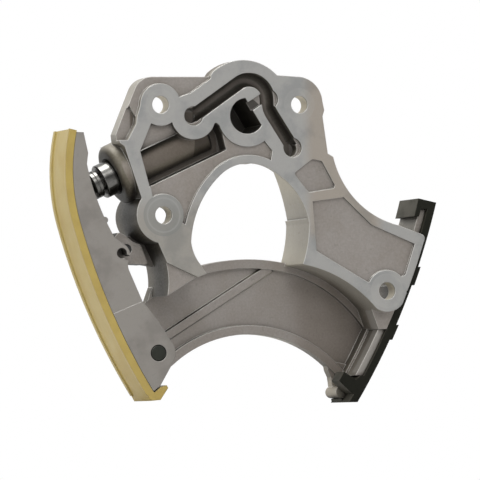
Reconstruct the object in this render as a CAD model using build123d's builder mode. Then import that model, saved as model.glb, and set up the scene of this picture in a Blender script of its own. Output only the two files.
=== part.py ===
"""Hydraulic timing chain tensioner of a V engine.

A die-cast bracket bolts to the engine block by its flat mating face. It carries a hydraulic piston, a sprung
arm with a plastic lining, and a fixed plastic guide rail.

The frame has X to the right, Y away from the mating face and Z up. The origin is on the mating face, midway
between the two upper bolt holes. All sizes are in millimetres and all angles in degrees.
"""
from build123d import *
from math import atan2, cos, degrees, hypot, radians, sin, sqrt
import os

os.makedirs("parts", exist_ok=True)

# Bolts
BOLT_SPAN = 58.6
BOLT_HOLE_R = 3.5
BOLT_RING_R = 8.4
BOLT_HEAD_ROOM_R = 6.4
LEFT_BOLT = (-BOLT_SPAN / 2, 0.0)
RIGHT_BOLT = (BOLT_SPAN / 2, 0.0)
LOWER_LEFT_BOLT = (-29.0, -43.8)
LOWER_RIGHT_BOLT = (65.2, -75.0)
BOLTS = [LEFT_BOLT, RIGHT_BOLT, LOWER_LEFT_BOLT, LOWER_RIGHT_BOLT]

# Casting
REACH = 300.0
PLATE_T = 7.5
BODY_DEPTH = 27.0
WALL_T = 3.5
DEEP_WALL_TOP = -15.5
CORNER_BLOCK_DEPTH = 10.5
CORNER_BLOCK_LOW = -16.0
CORNER_BLOCK_RIGHT = -31.0
TOP_EDGE = 11.2
PLATE_CORNER = (90.0, -55.8)
PLATE_CORNER_R = 1.6
LEFT_BULGE_R = 11.2
HUMP_CENTRE = (5.8, -2.0)
HUMP_R = 19.8
SPROCKET_CENTRE = (79.0, -13.0)
SPROCKET_CLEARANCE_R = 36.6

# Opening between the two legs
OPENING_RIGHT = (29.4, -63.9)
OPENING_LEFT = (-17.7, -54.6)
OPENING_ARCS = [
    (OPENING_RIGHT, (31.9, -54.0), (32.5, -47.5)),
    ((32.5, -47.5), (26.8, -34.5), (18.5, -27.2)),
    ((18.5, -27.2), (8.0, -23.4), (-4.6, -27.9)),
    ((-4.6, -27.9), (-12.0, -36.7), OPENING_LEFT),
]
OPENING_RIM = 3.3
SET_BACK_START = (8.7, -21.4)
SET_BACK_TOP = (27.3, -25.1)
SET_BACK_MIDDLE = (30.6, -34.5)
SET_BACK_LOW = (33.0, -45.5)
SET_BACK_LIP = 1.5

# Oil channel on the mating face
CHANNEL_W = 5.6
CHANNEL_DEPTH = 6.4
CHANNEL_START = (-15.6, -4.5)
CHANNEL_TOP_KNEE = (16.2, 17.0)
CHANNEL_SIDE_KNEE = (16.2, -1.7)
CHANNEL_END = (26.0, -17.2)
CHANNEL_TOP_R = 8.0
CHANNEL_SIDE_R = 7.0
CHANNEL_POCKET_R = 3.9
CHANNEL_POCKET_DEPTH = 1.6
CHANNEL_WELLS = [(-16.2, -4.3), (25.3, -17.8)]
CHANNEL_WELL_R = 3.0
CHANNEL_SIDE_POCKET = (16.4, 2.2)
CHANNEL_LOBE_R = 9.3
CHANNEL_FLOOR_T = 3.2

# Gallery bore, round with one flat
GALLERY_CENTRE = (7.0, -4.5)
GALLERY_R = 7.2
GALLERY_DEPTH = 20.0
GALLERY_BOSS_R = 12.3
GALLERY_END_T = 4.0
GALLERY_FLAT = 3.3
GALLERY_FLAT_ANGLE = 31.5
NOTCH_W = 3.8
NOTCH_DEPTH = 2.5
NOTCH_OFFSET = 2.5
NOTCH_OVERLAP = 0.5

# Recesses of the front face
STRIP_DEPTH = 2.0
SIDE_POCKET_DEPTH = 4.0
CORNER_FLOOR_DEPTH = 2.6
FACE_RECESS_DEPTH = 1.2
BRANCH_RECESS_DEPTH = 1.2
GUSSET_RECESS_DEPTH = 1.5

# Cylinder, its axis parallel to the mating face
CYLINDER_MOUTH = (-45.7, -27.8)
CYLINDER_AXIS_DEPTH = 13.5
CYLINDER_ANGLE = 24.0
BORE_R = 7.0
BORE_LENGTH = 38.0
BORE_MOUTH_CHAMFER = 0.9
MOUTH_BOSS_R = 12.4
MOUTH_BOSS_LENGTH = 8.0
MOUTH_BOSS_ROUND = 2.4
BARREL_R = 9.2
BARREL_LENGTH = 41.5
BARREL_END_CHAMFER = 1.2
FEED_R = 1.5
FEED_BOSS_R = 4.4
FEED_BOSS_L = 10.0
FEED_OVERRUN = 2.0
POCKET_DEPTH = 9.0
POCKET_FLOOR_T = 3.0
POCKET_WALL_T = 2.6
LEDGE_OFFSET = 6.5
POCKET_TOP_OFFSET = 5.4
POCKET_LOW_OFFSET = 8.9

# Web, concentric with the lower sprocket
WEB_CENTRE = (13.0, -141.0)
WEB_INNER_R = 49.8
WEB_OUTER_R = 80.0
WEB_FRONT = 24.0
WEB_LEFT_TOP = (-26.8, -70.7)
WEB_LEFT_LOW = (-29.8, -78.5)
WEB_END_ANGLE = 131.0
WEB_RIM_W = 3.6
WEB_RIM_H = 2.5
BRANCH_EDGE_R = 78.4
BRANCH_FOOT = [(76.4, 73.0), (74.9, 60.5), (71.2, 43.0)]
FLANGE_FOOT_W = 1.0
FLANGE_FOOT_H = 6.0
RIB_W = 4.2
RIB_H = 1.4
RIB_START = (-24.0, -93.2)
RIB_END = (24.0, -64.4)

# Arm
PIVOT = (-31.3, -98.3)
PIN_R = 3.25
PIN_RUNNING_CLEARANCE = 0.05
HUB_R = 7.1
HUB_BOSS_R = 8.0
HUB_BOSS_REAR = 2.0
HUB_AXIAL_GAP = 0.6
HUB_STEP = 0.25
HUB_STEP_LEFT = (-75.0, -92.2)
HUB_STEP_RIGHT = (-30.0, -74.9)
HUB_RELIEF_TOP = -76.4
ARM_FRONT = 3.0
ARM_BACK = 24.0
ARM_SWING_IN = 5.8
ARM_SWING_OUT = 5.0
BLADE_JOIN = (-62.58, -46.42)
BLADE_LEAN = 15.2
BLADE_UPPER_R = 74.4
BLADE_LOWER_R = 258.6
BLADE_TOP_ANGLE = 167.3
BLADE_BOTTOM_ANGLE = 211.4
LOCK_HOLE = (-45.6, -58.6)
LOCK_HOLE_R = 2.1
LOCK_SIDE_HOLE = (-43.3, -60.4)
LOCK_SIDE_HOLE_R = 1.2
NUB = (-52.0, -45.4)
NUB_R = 1.3
NUB_FRONT = 4.5
NUB_W = 3.0
PAD_R = 3.4
PAD_GAP = 0.3
PAD_L = 5.0

# Lock lug of the bracket
LUG_FRONT = 10.2
LUG_BACK = 21.0
LUG_WEB_FRONT = 17.5
LUG_HOLE = (-41.4, -56.9)
LUG_HOLE_R = 2.1
LUG_GAP = 0.7
LUG_OUTLINE = [
    (-46.2, -51.8),
    (-44.6, -50.0),
    (-41.8, -51.4),
    (-38.8, -53.9),
    (-35.4, -55.2),
    (-32.2, -63.1),
    (-44.6, -62.4),
    (-46.8, -57.0),
]

# Lining
LINING_T = 2.6
LINING_GAP = 0.15
LINING_OVERHANG = 0.6
LIP_H = 0.5
FRONT_LIP_W = 1.6
REAR_LIP_W = 2.4

# Guide rail, an arc about a far centre
RAIL_CENTRE = (-183.5, 35.5)
RAIL_OUTER_R = 283.3
RAIL_T = 3.0
RAIL_FRONT = 6.0
RAIL_GAP = 0.1
RAIL_TOP = -37.6
RAIL_TOP_KNEE = 82.1
RAIL_TOP_FALL = 13.0
RAIL_BOTTOM = -119.4
TABS = [(-65.3, -72.7), (-88.6, -94.6)]
TAB_H = 1.0
TAB_W = 3.0
FILLER_FRONT = 6.0
FILLER_BOTTOM = -90.2
FILLER_CORNER = (63.4, FILLER_BOTTOM)
FLANGE_FRONT = 8.0
FLANGE_T = 2.6
FLANGE_TOP = -42.0
FLANGE_BOTTOM = -108.7
HOOK_LEG_T = 2.0
HOOK_LEG_BOTTOM = -44.9
FOOT = (50.2, -115.2)
FOOT_R = 2.4
FOOT_FRONT = 15.0
LEG_FRONT = 22.5

# Piston group, along the cylinder axis from its mouth
PISTON_CLEARANCE = 0.04
PISTON_FRONT = -5.6
PISTON_REAR = 24.0
PISTON_CROWN_T = 2.6
PISTON_CAVITY_R = 4.95
PISTON_EDGE_CHAMFER = 0.4
TIP_R = 5.6
TIP_T = 2.8
TIP_CROWN = 0.5
TIP_NECK_L = 1.0
TIP_NECK_R = 3.9
TIP_GROOVE_W = 0.4
TIP_GROOVE_DEPTH = 0.3
SPRING_R = 4.5
SPRING_WIRE_R = 0.55
SPRING_TURNS = 8
SEAT_T = 3.5
SEAT_HOLE_R = 1.4
SEAT_FIT = 0.02
BALL_R = 2.0
CAGE_R = 3.2
CAGE_WALL = 0.45
CAGE_FLANGE_R = 5.6
CAGE_FLANGE_T = 0.6
CAGE_LENGTH = 6.4
CAGE_PORT_R = 0.8
BALL_LIFT = 0.8
BALL_GAP = 0.03
GUIDE_FLANGE_T = 1.2
GUIDE_ROD_R = 2.9
GUIDE_ROD_L = 14.0
GUIDE_CLEARANCE = 0.1
BALL_SPRING_R = 1.5
BALL_SPRING_WIRE_R = 0.16
BALL_SPRING_TURNS = 3
END_CLEARANCE = 0.1


def depth_plane(depth):
    """Plane parallel to the mating face at the given depth, with sketch axes X and Z."""
    return Plane.XZ.offset(-depth)


def on_circle(centre, radius, angle):
    """Point on a circle, the angle measured from +X towards +Z."""
    return (centre[0] + radius * cos(radians(angle)), centre[1] + radius * sin(radians(angle)))


def circle_x(centre, radius, z):
    """X of the right-hand side of a circle at height z."""
    return centre[0] + sqrt(radius**2 - (z - centre[1]) ** 2)


def circle_point(centre, radius, z):
    """Point on the right-hand side of a circle at height z."""
    return (circle_x(centre, radius, z), z)


def axis_point(along, across):
    """Point in the sketch axes X and Z from distances along the cylinder axis and across it."""
    c = cos(radians(CYLINDER_ANGLE))
    s = sin(radians(CYLINDER_ANGLE))
    return (CYLINDER_MOUTH[0] + along * c - across * s, CYLINDER_MOUTH[1] + along * s + across * c)


def arc_strip(centre, inner_r, outer_r, top, bottom):
    """Flat strip between two arcs about one centre, from height top down to height bottom."""
    middle = (top + bottom) / 2
    with BuildSketch(Plane.XZ) as strip:
        with BuildLine():
            ThreePointArc(*[circle_point(centre, outer_r, z) for z in (top, middle, bottom)])
            Line(circle_point(centre, outer_r, bottom), circle_point(centre, inner_r, bottom))
            ThreePointArc(*[circle_point(centre, inner_r, z) for z in (bottom, middle, top)])
            Line(circle_point(centre, inner_r, top), circle_point(centre, outer_r, top))
        make_face()
    return strip.sketch_local


# Frames along the cylinder axis
axis_dir = (cos(radians(CYLINDER_ANGLE)), 0, sin(radians(CYLINDER_ANGLE)))
mouth_point = (CYLINDER_MOUTH[0], CYLINDER_AXIS_DEPTH, CYLINDER_MOUTH[1])
cylinder_axis = Axis(mouth_point, axis_dir)
section_plane = Plane(origin=mouth_point, x_dir=axis_dir, z_dir=(0, -1, 0))
mouth_plane = Plane(origin=mouth_point, x_dir=(0, 1, 0), z_dir=axis_dir)

# Outline of the bracket's front, shared by plate, walls and recesses
flange_outer_r = RAIL_OUTER_R - RAIL_T - RAIL_GAP
flange_middle_r = flange_outer_r - FLANGE_T / 2
boss_right = on_circle(LOWER_RIGHT_BOLT, BOLT_RING_R, 0)
boss_low = on_circle(LOWER_RIGHT_BOLT, BOLT_RING_R, 236)
bulge_top = on_circle(LOWER_LEFT_BOLT, LEFT_BULGE_R, 143)
bulge_low = on_circle(LOWER_LEFT_BOLT, LEFT_BULGE_R, 257)
hump_left = on_circle(HUMP_CENTRE, HUMP_R, 130)
hump_right = on_circle(HUMP_CENTRE, HUMP_R, 44)

with BuildSketch(Plane.XZ) as outline:
    with BuildLine():
        Polyline(bulge_top, (-44.7, -16.4), (-46.6, -15.2), (-47.0, -11.6), (-44.3, -5.2), (-39.0, 7.0))
        ThreePointArc((-39.0, 7.0), (-36.0, 10.1), (-31.2, TOP_EDGE))
        Polyline((-31.2, TOP_EDGE), (-8.4, TOP_EDGE), hump_left)
        ThreePointArc(hump_left, on_circle(HUMP_CENTRE, HUMP_R, 85), hump_right)
        Line(hump_right, (28.6, 11.2))
        ThreePointArc((28.6, 11.2), (36.0, 8.2), (39.2, 1.2))
        Polyline((39.2, 1.2), (39.9, -2.2), (39.1, -4.7), (41.0, -19.6), (43.3, -21.0))
        ThreePointArc((43.3, -21.0), on_circle(SPROCKET_CENTRE, SPROCKET_CLEARANCE_R, 225), (70.6, -48.6))
        Polyline((70.6, -48.6), PLATE_CORNER, (PLATE_CORNER[0], boss_right[1]), boss_right)
        ThreePointArc(boss_right, on_circle(LOWER_RIGHT_BOLT, BOLT_RING_R, 300), boss_low)
        ThreePointArc(boss_low, on_circle(WEB_CENTRE, BRANCH_EDGE_R, 66), OPENING_RIGHT)
        for arc in OPENING_ARCS:
            ThreePointArc(*arc)
        ThreePointArc(OPENING_LEFT, (-16.8, -58.6), (-13.8, -63.8))
        Polyline((-13.8, -63.8), (-11.6, -67.3), (-15.6, -68.7), (-27.6, -75.8))
        ThreePointArc((-27.6, -75.8), (-27.0, -69.0), (-27.8, -63.0))
        Line((-27.8, -63.0), bulge_low)
        ThreePointArc(bulge_low, on_circle(LOWER_LEFT_BOLT, LEFT_BULGE_R, 200), bulge_top)
    make_face()
    with Locations(RAIL_CENTRE):
        Circle(flange_outer_r, mode=Mode.INTERSECT)
    fillet(vertices().sort_by(Axis.X)[-1], radius=PLATE_CORNER_R)

# Path of the oil channel, once flat for its plan and once at the depth of its round bottom
channel_points = [CHANNEL_START, CHANNEL_TOP_KNEE, CHANNEL_SIDE_KNEE, CHANNEL_END]
channel_radii = [CHANNEL_TOP_R, CHANNEL_SIDE_R]
channel_side_depth = CHANNEL_DEPTH - CHANNEL_W / 2
with BuildLine() as channel_plan:
    FilletPolyline(*channel_points, radius=channel_radii)
with BuildLine(depth_plane(channel_side_depth)) as channel_floor:
    FilletPolyline(*channel_points, radius=channel_radii)

# Deep pocket over the cylinder barrel
with BuildSketch(Plane.XZ) as barrel_pocket:
    with BuildLine():
        Polyline(
            axis_point(8.2, -POCKET_LOW_OFFSET),
            axis_point(44.2, -POCKET_LOW_OFFSET),
            (-3.2, -11.6),
            (-4.2, -8.6),
            (-6.0, -7.2),
            (-8.6, -7.6),
            axis_point(30.0, POCKET_TOP_OFFSET),
            axis_point(10.6, POCKET_TOP_OFFSET),
            close=True,
        )
    make_face()
    with Locations(CHANNEL_START):
        Circle(CHANNEL_LOBE_R, mode=Mode.SUBTRACT)
    with Locations(GALLERY_CENTRE):
        Circle(GALLERY_BOSS_R, mode=Mode.SUBTRACT)

# Inner edge of the rim along the opening
with BuildSketch(Plane.XZ) as opening:
    with BuildLine():
        for arc in OPENING_ARCS:
            ThreePointArc(*arc)
        Line(OPENING_LEFT, OPENING_RIGHT)
    make_face()
rim_zone = offset(opening.sketch_local, amount=OPENING_RIM, mode=Mode.PRIVATE)

# Part of the opening's border that has no deep wall of the outline's own
with BuildSketch(Plane.XZ) as thin_zone:
    add(offset(opening.sketch_local, amount=2 * WALL_T, mode=Mode.PRIVATE))
    with Locations((SET_BACK_LOW[0] + WALL_T, SET_BACK_LOW[1])):
        Rectangle(REACH, REACH, align=(Align.MAX, Align.MIN), mode=Mode.INTERSECT)
    with Locations((OPENING_LEFT[0], SET_BACK_LOW[1])):
        Rectangle(REACH, REACH, align=(Align.MIN, Align.MIN), mode=Mode.INTERSECT)

with BuildPart() as housing:
    # Plate and the deep walls behind its outline
    with BuildSketch(depth_plane(0)):
        add(outline.sketch_local)
    extrude(amount=-PLATE_T)
    with BuildSketch(depth_plane(PLATE_T)):
        add(outline.sketch_local)
        offset(amount=-WALL_T, mode=Mode.SUBTRACT)
        with Locations((0, DEEP_WALL_TOP)):
            Rectangle(REACH, REACH, align=(Align.CENTER, Align.MAX), mode=Mode.INTERSECT)
        with Locations(RAIL_CENTRE):
            Circle(flange_middle_r, mode=Mode.INTERSECT)
        add(thin_zone.sketch_local, mode=Mode.SUBTRACT)
        with BuildLine():
            ThreePointArc(SET_BACK_TOP, SET_BACK_MIDDLE, SET_BACK_LOW)
            Line(SET_BACK_LOW, (SET_BACK_LOW[0] + WALL_T, SET_BACK_LOW[1]))
            ThreePointArc(*[(p[0] + WALL_T, p[1]) for p in (SET_BACK_LOW, SET_BACK_MIDDLE, SET_BACK_TOP)])
            Line((SET_BACK_TOP[0] + WALL_T, SET_BACK_TOP[1]), SET_BACK_TOP)
        make_face()
    extrude(amount=PLATE_T - BODY_DEPTH)
    with BuildSketch(depth_plane(SET_BACK_LIP)):
        with BuildLine():
            ThreePointArc(SET_BACK_TOP, SET_BACK_MIDDLE, SET_BACK_LOW)
            Polyline(SET_BACK_LOW, (SET_BACK_START[0], SET_BACK_LOW[1]), SET_BACK_START, SET_BACK_TOP)
        make_face()
    extrude(amount=SET_BACK_LIP - BODY_DEPTH, mode=Mode.SUBTRACT)
    with BuildSketch(depth_plane(PLATE_T)):
        add(outline.sketch_local)
        with Locations((CORNER_BLOCK_RIGHT, CORNER_BLOCK_LOW)):
            Rectangle(REACH, REACH, align=(Align.MAX, Align.MIN), mode=Mode.INTERSECT)
    extrude(amount=PLATE_T - CORNER_BLOCK_DEPTH)

    # Web with its two rims and the pivot boss
    with BuildSketch(depth_plane(BODY_DEPTH)) as web_area:
        with Locations(WEB_CENTRE):
            Circle(WEB_OUTER_R)
            Circle(WEB_INNER_R, mode=Mode.SUBTRACT)
        with BuildLine():
            Polyline(
                WEB_CENTRE,
                on_circle(WEB_CENTRE, 2 * WEB_OUTER_R, WEB_END_ANGLE),
                (REACH, 0),
                (REACH, RAIL_BOTTOM),
                close=True,
            )
        make_face(mode=Mode.INTERSECT)
        with BuildLine():
            Polyline((REACH, 0), (WEB_LEFT_TOP[0], 0), WEB_LEFT_TOP, WEB_LEFT_LOW, (WEB_LEFT_LOW[0], -REACH))
            Polyline((WEB_LEFT_LOW[0], -REACH), (REACH, -REACH), (REACH, 0))
        make_face(mode=Mode.INTERSECT)
        with Locations(RAIL_CENTRE):
            Circle(flange_middle_r, mode=Mode.INTERSECT)
        with Locations(PIVOT):
            Circle(HUB_BOSS_R)
    extrude(amount=BODY_DEPTH - WEB_FRONT)
    for rim_outer in (WEB_OUTER_R, WEB_INNER_R + WEB_RIM_W):
        with BuildSketch(depth_plane(WEB_FRONT)):
            add(web_area.sketch_local)
            with Locations(WEB_CENTRE):
                Circle(rim_outer, mode=Mode.INTERSECT)
                Circle(rim_outer - WEB_RIM_W, mode=Mode.SUBTRACT)
        extrude(amount=WEB_RIM_H)
    with BuildSketch(depth_plane(WEB_FRONT)):
        with Locations(PIVOT):
            Circle(HUB_BOSS_R)
    extrude(amount=WEB_RIM_H)

    # Step at the foot of the branch's lower wall, and the lower one along the flange
    foot_edge = [on_circle(WEB_CENTRE, radius, angle) for radius, angle in BRANCH_FOOT]
    foot_rear = [on_circle(WEB_CENTRE, WEB_OUTER_R, angle) for radius, angle in BRANCH_FOOT]
    with BuildSketch(depth_plane(WEB_FRONT)):
        with BuildLine():
            ThreePointArc(*foot_edge)
            Line(foot_edge[-1], foot_rear[-1])
            ThreePointArc(*foot_rear)
            Line(foot_rear[0], foot_edge[0])
        make_face()
        with Locations(RAIL_CENTRE):
            Circle(flange_middle_r, mode=Mode.INTERSECT)
    extrude(amount=WEB_RIM_H)
    with BuildSketch(depth_plane(WEB_FRONT)):
        add(web_area.sketch_local)
        with Locations(RAIL_CENTRE):
            Circle(flange_outer_r - FLANGE_T - FLANGE_FOOT_W, mode=Mode.SUBTRACT)
    extrude(amount=FLANGE_FOOT_H)

    # Stiffening rib across the web, its sides bevelled
    rib_length = hypot(RIB_END[0] - RIB_START[0], RIB_END[1] - RIB_START[1])
    rib_angle = degrees(atan2(RIB_END[1] - RIB_START[1], RIB_END[0] - RIB_START[0]))
    with BuildSketch(depth_plane(WEB_FRONT)):
        with Locations(Location((*RIB_START, 0), (0, 0, rib_angle))):
            Rectangle(rib_length, RIB_W, align=(Align.MIN, Align.CENTER))
    extrude(amount=RIB_H, taper=20)

    # Land of the oil channel and boss of the gallery bore
    with BuildSketch(depth_plane(PLATE_T)):
        trace(channel_plan.line, line_width=CHANNEL_W + 2 * CHANNEL_FLOOR_T)
        with Locations(*CHANNEL_WELLS):
            Circle(CHANNEL_WELL_R + CHANNEL_FLOOR_T)
    extrude(amount=PLATE_T - CHANNEL_DEPTH - CHANNEL_FLOOR_T)
    with BuildSketch(depth_plane(PLATE_T)):
        with Locations(GALLERY_CENTRE):
            Circle(GALLERY_BOSS_R - 1.5)
    extrude(amount=PLATE_T - GALLERY_DEPTH - GALLERY_END_T)

    # Box behind the barrel pocket
    with BuildSketch(depth_plane(PLATE_T)):
        offset(barrel_pocket.sketch_local, amount=POCKET_WALL_T)
    extrude(amount=PLATE_T - POCKET_DEPTH - POCKET_FLOOR_T)

    # Recesses of the front face, cut round the bolt rings and the bosses
    with BuildSketch(depth_plane(0)):
        with BuildLine():
            Polyline((-39.2, -4.7), (-41.7, -0.3), (-44.8, -3.9), (-50.0, -3.9), (-50.0, 14.0), (-8.0, 14.0))
            Polyline(
                (-8.0, 14.0),
                (-8.0, 10.4),
                (-16.5, 4.7),
                (-20.9, 3.2),
                LEFT_BOLT,
                (-37.1, 1.8),
                (-39.2, -4.7),
            )
        make_face()
        with Locations(LEFT_BOLT):
            Circle(BOLT_RING_R, mode=Mode.SUBTRACT)
    extrude(amount=-STRIP_DEPTH, mode=Mode.SUBTRACT)
    with BuildSketch(depth_plane(0)):
        with BuildLine():
            Polyline(
                (-39.2, -4.7),
                (-41.7, -0.3),
                (-44.8, -3.9),
                (-50.0, -3.9),
                (-50.0, -14.0),
                (-43.2, -14.0),
            )
            Polyline((-43.2, -14.0), (-39.6, -7.5), (-39.2, -4.7))
        make_face()
    extrude(amount=-SIDE_POCKET_DEPTH, mode=Mode.SUBTRACT)
    with BuildSketch(depth_plane(0)):
        with BuildLine():
            Polyline((-38.2, -18.2), (-33.4, -7.4), LEFT_BOLT, CHANNEL_START, (-16.0, -12.0))
            Polyline((-16.0, -12.0), axis_point(28.0, POCKET_TOP_OFFSET), (-38.2, -18.2))
        make_face()
        with Locations(LEFT_BOLT):
            Circle(BOLT_RING_R, mode=Mode.SUBTRACT)
        with Locations(CHANNEL_START):
            Circle(CHANNEL_LOBE_R, mode=Mode.SUBTRACT)
    extrude(amount=-CORNER_FLOOR_DEPTH, mode=Mode.SUBTRACT)
    with BuildSketch(depth_plane(0)):
        with BuildLine():
            Polyline(axis_point(8.9, -7.9), axis_point(43.2, -7.9), (-4.2, -11.4), GALLERY_CENTRE)
            Polyline(GALLERY_CENTRE, (12.5, -12.5), (17.4, -18.4), (16.0, -26.0), (-14.0, -48.0))
            Polyline((-14.0, -48.0), (-18.8, -48.0), LOWER_LEFT_BOLT, (-33.4, -36.6), axis_point(8.9, -7.9))
        make_face()
        add(rim_zone, mode=Mode.SUBTRACT)
        with Locations(LOWER_LEFT_BOLT):
            Circle(BOLT_RING_R, mode=Mode.SUBTRACT)
        with Locations(GALLERY_CENTRE):
            Circle(GALLERY_BOSS_R, mode=Mode.SUBTRACT)
    extrude(amount=-FACE_RECESS_DEPTH, mode=Mode.SUBTRACT)
    with BuildSketch(depth_plane(0)):
        with BuildLine():
            Polyline((26.3, -27.6), (34.2, -21.9), (38.4, -22.6), (44.3, -33.4), (32.6, -35.2), close=True)
        make_face()
        fillet(vertices(), radius=1.2)
        with BuildLine():
            Polyline((34.1, -38.8), (47.4, -37.2), (59.2, -48.4), (77.6, -56.2), (73.2, -68.6), (65.2, -72.0))
            Polyline((65.2, -72.0), (56.9, -71.3), (41.3, -62.2), (35.3, -58.6), (34.1, -38.8))
        make_face()
        with Locations(LOWER_RIGHT_BOLT):
            Circle(BOLT_RING_R, mode=Mode.SUBTRACT)
    extrude(amount=-BRANCH_RECESS_DEPTH, mode=Mode.SUBTRACT)
    with BuildSketch(depth_plane(0)):
        with BuildLine():
            Polyline(
                (-36.0, -62.9),
                (-27.4, -62.9),
                (-15.0, -68.6),
                (-15.0, -74.0),
                (-30.0, -82.0),
                close=True,
            )
        make_face()
    extrude(amount=-GUSSET_RECESS_DEPTH, mode=Mode.SUBTRACT)

    # Barrel pocket, then the barrel that runs through it
    with BuildSketch(depth_plane(0)):
        add(barrel_pocket.sketch_local)
    extrude(amount=-POCKET_DEPTH, mode=Mode.SUBTRACT)
    with BuildSketch(section_plane):
        with BuildLine():
            round_point = MOUTH_BOSS_ROUND * (1 - sqrt(0.5))
            ThreePointArc(
                (0, MOUTH_BOSS_R - MOUTH_BOSS_ROUND),
                (round_point, MOUTH_BOSS_R - round_point),
                (MOUTH_BOSS_ROUND, MOUTH_BOSS_R),
            )
            Polyline(
                (MOUTH_BOSS_ROUND, MOUTH_BOSS_R),
                (MOUTH_BOSS_LENGTH, MOUTH_BOSS_R),
                (MOUTH_BOSS_LENGTH, BARREL_R),
                (BARREL_LENGTH - BARREL_END_CHAMFER, BARREL_R),
                (BARREL_LENGTH, BARREL_R - BARREL_END_CHAMFER),
                (BARREL_LENGTH, FEED_BOSS_R),
                (BARREL_LENGTH + FEED_BOSS_L, FEED_BOSS_R),
                (BARREL_LENGTH + FEED_BOSS_L, 0),
                (0, 0),
                (0, MOUTH_BOSS_R - MOUTH_BOSS_ROUND),
            )
        make_face()
    revolve(axis=cylinder_axis)
    with BuildSketch(depth_plane(0)):
        with BuildLine():
            Polyline(
                axis_point(8.6, -POCKET_LOW_OFFSET),
                axis_point(44.0, -POCKET_LOW_OFFSET),
                axis_point(44.0, -LEDGE_OFFSET),
                axis_point(8.6, -LEDGE_OFFSET),
                close=True,
            )
        make_face()
    extrude(amount=-POCKET_DEPTH, mode=Mode.SUBTRACT)

    # Flange that carries the guide rail, and the foot below it
    with BuildSketch(depth_plane(BODY_DEPTH)):
        add(arc_strip(RAIL_CENTRE, flange_outer_r - FLANGE_T, flange_outer_r, FLANGE_TOP, FLANGE_BOTTOM))
    extrude(amount=BODY_DEPTH - FLANGE_FRONT)
    with BuildSketch(depth_plane(BODY_DEPTH)):
        with BuildLine():
            Polyline(
                (REACH, FILLER_BOTTOM),
                (REACH, LOWER_RIGHT_BOLT[1]),
                LOWER_RIGHT_BOLT,
                boss_low,
                FILLER_CORNER,
            )
            Line(FILLER_CORNER, (REACH, FILLER_BOTTOM))
        make_face()
        with Locations(RAIL_CENTRE):
            Circle(flange_outer_r, mode=Mode.INTERSECT)
    extrude(amount=BODY_DEPTH - FILLER_FRONT)
    with BuildSketch(depth_plane(BODY_DEPTH)):
        with Locations(FOOT):
            Circle(FOOT_R)
        with Locations(RAIL_CENTRE):
            Circle(flange_outer_r, mode=Mode.INTERSECT)
    extrude(amount=BODY_DEPTH - FOOT_FRONT)
    with BuildSketch(depth_plane(BODY_DEPTH)):
        with BuildLine():
            Polyline(
                (46.6, -102.0),
                (47.4, -106.4),
                (48.6, -109.0),
                (49.2, -113.8),
                (52.2, -114.0),
                (54.8, -109.0),
            )
            Polyline((54.8, -109.0), (55.6, -104.0), (46.6, -102.0))
        make_face()
    extrude(amount=BODY_DEPTH - LEG_FRONT)

    # Lock lug, tied to the left wall behind the arm
    with BuildSketch(depth_plane(LUG_FRONT)):
        with BuildLine():
            Polyline(*LUG_OUTLINE, close=True)
        make_face()
        fillet(vertices(), radius=1.0)
    extrude(amount=LUG_FRONT - LUG_BACK)
    with BuildSketch(depth_plane(LUG_WEB_FRONT)):
        with BuildLine():
            Polyline(
                (-40.0, -52.0),
                (-34.0, -50.5),
                (-26.0, -57.0),
                (-26.0, -64.0),
                (-38.0, -62.0),
                close=True,
            )
        make_face()
    extrude(amount=LUG_WEB_FRONT - LUG_BACK)

    # Holes and cavities, with room for the bolt heads behind the plate
    with BuildSketch(depth_plane(PLATE_T)):
        with Locations(*BOLTS):
            Circle(BOLT_HEAD_ROOM_R)
    extrude(amount=PLATE_T - BODY_DEPTH, mode=Mode.SUBTRACT)
    with Locations(depth_plane(0)):
        with Locations(*BOLTS):
            Hole(BOLT_HOLE_R)
        with Locations(LUG_HOLE):
            Hole(LUG_HOLE_R)
        with Locations(PIVOT):
            Hole(PIN_R)
    with BuildSketch(section_plane):
        with BuildLine():
            Polyline(
                (0, 0),
                (0, BORE_R + BORE_MOUTH_CHAMFER),
                (BORE_MOUTH_CHAMFER, BORE_R),
                (BORE_LENGTH, BORE_R),
                (BORE_LENGTH, FEED_R),
                (BARREL_LENGTH + FEED_BOSS_L + FEED_OVERRUN, FEED_R),
                (BARREL_LENGTH + FEED_BOSS_L + FEED_OVERRUN, 0),
                close=True,
            )
        make_face()
    revolve(axis=cylinder_axis, mode=Mode.SUBTRACT)
    with BuildSketch(depth_plane(0)):
        with Locations(GALLERY_CENTRE):
            Circle(GALLERY_R)
        with Locations(Location((*GALLERY_CENTRE, 0), (0, 0, GALLERY_FLAT_ANGLE))):
            with Locations((GALLERY_FLAT, 0)):
                Rectangle(GALLERY_R, 3 * GALLERY_R, align=(Align.MIN, Align.CENTER), mode=Mode.SUBTRACT)
    extrude(amount=-GALLERY_DEPTH, mode=Mode.SUBTRACT)
    with BuildSketch(depth_plane(0)):
        with Locations(Location((*GALLERY_CENTRE, 0), (0, 0, GALLERY_FLAT_ANGLE))):
            with Locations((GALLERY_FLAT - NOTCH_OVERLAP, NOTCH_OFFSET)):
                Rectangle(GALLERY_R, NOTCH_W, align=(Align.MIN, Align.CENTER))
    extrude(amount=-NOTCH_DEPTH, mode=Mode.SUBTRACT)

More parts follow.
